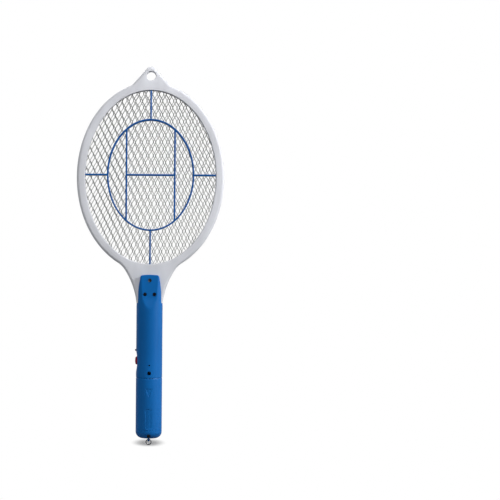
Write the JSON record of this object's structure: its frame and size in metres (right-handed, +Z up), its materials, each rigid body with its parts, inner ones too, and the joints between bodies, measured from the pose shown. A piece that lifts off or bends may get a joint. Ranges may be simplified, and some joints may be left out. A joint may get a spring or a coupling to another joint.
{
  "type": "electric fly swatter",
  "caption": "Racket-shaped insect zapper: oval grey frame with layered metal nets and a rib grille, round blue handle with push button, pull-off tail cover over a mains plug, metal ring.",
  "frame": {"origin": "centre of the hang hole, halfway through the frame's thickness", "axes": "+Z up along the handle towards the tip; -Y out of the face with the screws; -X towards the push button"},
  "size_m": [0.1914, 0.034, 0.4916],
  "materials": {
    "grey_plastic": "satin moulded",
    "blue_plastic": "satin moulded",
    "rib_blue_plastic": "satin moulded",
    "net_metal": "expanded sheet",
    "strip_metal": "stamped",
    "screw_steel": "zinc plated",
    "ring_chrome": "polished",
    "board": "bare laminate",
    "transformer_tape": "tape",
    "capacitor_film": "dipped",
    "resistor_body": "lacquered",
    "dark_plastic": "moulded",
    "red_plastic": "moulded",
    "red_lens": "tinted lens",
    "green_lens": "tinted lens",
    "battery_case": "sealed case",
    "pin_brass": "nickel plated"
  },
  "bodies": {
    "racket": {"front_frame": "grey_plastic", "rear_frame": "grey_plastic", "front_guard": "rib_blue_plastic", "rear_guard": "rib_blue_plastic", "front_net": "net_metal", "centre_net": "net_metal", "rear_net": "net_metal", "front_spacer": "grey_plastic", "rear_spacer": "grey_plastic", "net_strips": "strip_metal", "handle_front": "blue_plastic", "handle_back": "blue_plastic", "neck_screws": "screw_steel", "body_screw": "screw_steel", "circuit_board": "board", "transformer": "transformer_tape", "capacitors": "capacitor_film", "diodes": "dark_plastic", "resistors": "resistor_body", "transistor": "dark_plastic", "switch_body": "dark_plastic", "power_lamp": "red_lens", "charge_lamp": "green_lens", "battery": "battery_case", "battery_strips": "strip_metal", "plug_base": "dark_plastic", "plug_pins": "pin_brass", "plug_strips": "strip_metal"},
    "button": {"zap_button": "red_plastic"},
    "plunger": {"switch_plunger": "dark_plastic"},
    "tail": {"tail_cover": "blue_plastic", "tail_cap": "blue_plastic", "cap_screw": "screw_steel"},
    "ring": {"lanyard_ring": "ring_chrome"}
  },
  "joints": [
    {"name": "button_press", "type": "slide", "parent": "racket", "child": "button", "axis": [1, 0, 0], "range_m": [0, 0.001], "stiffness_N_per_m": 800, "springref_m": -0.0006},
    {"name": "plunger_press", "type": "slide", "parent": "racket", "child": "plunger", "axis": [1, 0, 0], "range_m": [0, 0.001]},
    {"name": "tail_pull", "type": "slide", "parent": "racket", "child": "tail", "axis": [0, 0, -1], "range_m": [0, 0.06]},
    {"name": "ring_swing", "type": "hinge", "parent": "tail", "child": "ring", "pos_m": [0, 0, -0.4721], "axis": [1, 0, 0], "range_deg": [-75, 75]}
  ],
  "couplings": [
    {"joint": "plunger_press", "follows": "button_press", "ratio": 1}
  ]
}
